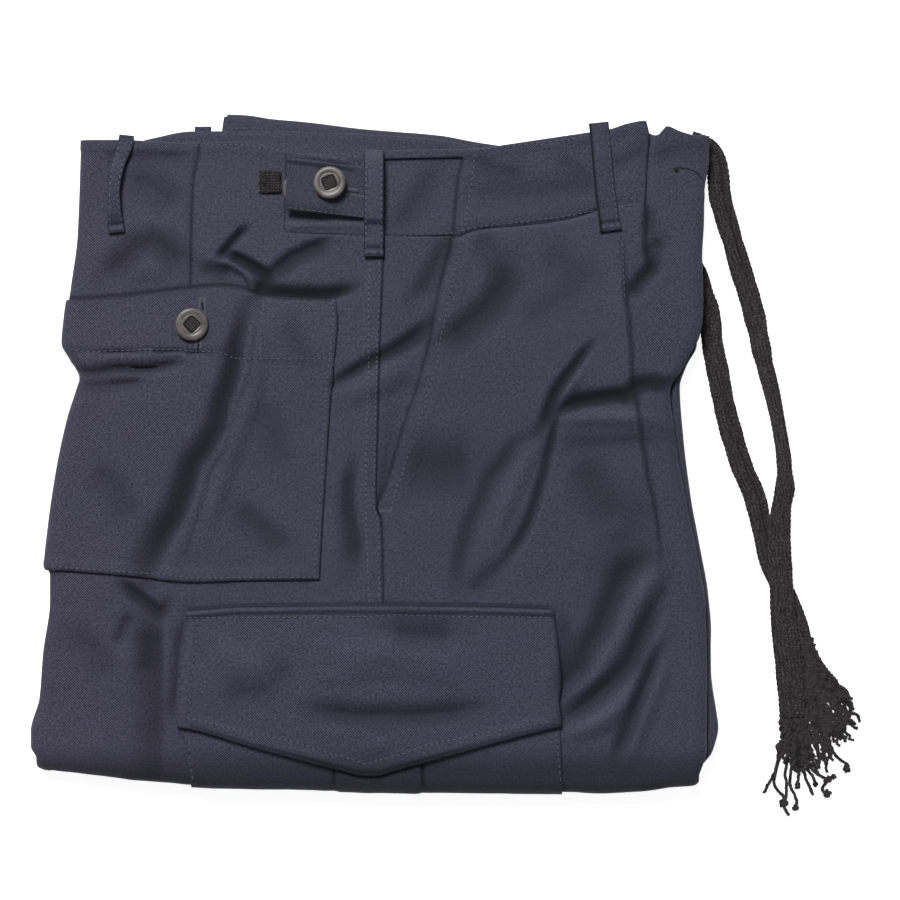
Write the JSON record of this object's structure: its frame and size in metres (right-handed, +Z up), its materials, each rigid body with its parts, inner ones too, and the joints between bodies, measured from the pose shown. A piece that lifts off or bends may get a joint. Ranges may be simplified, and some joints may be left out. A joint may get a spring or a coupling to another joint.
{
  "type": "folded cargo trousers",
  "caption": "Navy cotton cargo trousers folded flat with the side seam in the middle, cargo pocket flap on top and a flat black drawstring lying free beside them.",
  "frame": {"origin": "on the surface the cloth lies on, under the middle of the folded cloth's box, drawstring left out", "axes": "+Z up, +Y towards the waist, +X towards the fly and the drawstring"},
  "size_m": [0.464, 0.3964, 0.0278],
  "materials": {
    "navy_drill": "cotton satin drill with a slight sheen",
    "black_braid": "dull braided cotton",
    "woven_tape": "dull woven tape",
    "grey_button": "satin"
  },
  "bodies": {
    "root": {"folded_legs": "navy_drill", "waistband_right": "navy_drill", "belt_loop_right": "navy_drill", "back_panel": "navy_drill", "front_panel": "navy_drill", "waistband": "navy_drill", "waistband_inset": "navy_drill", "pocket_facing": "navy_drill", "fly_end": "navy_drill", "back_pocket": "navy_drill", "cargo_pocket": "navy_drill", "cargo_flap": "navy_drill", "adjuster_tab": "navy_drill", "belt_loop_back": "navy_drill", "belt_loop_side": "navy_drill", "belt_loop_front": "navy_drill", "button_tab": "grey_button", "button_pocket": "grey_button", "button_hidden": "grey_button", "tape_tab": "woven_tape", "tape_pocket": "woven_tape", "tape_hidden": "woven_tape", "tape_patch": "woven_tape", "drawstring_a": "black_braid", "drawstring_b": "black_braid", "fringe_a": "black_braid", "fringe_b": "black_braid"}
  },
  "joints": []
}
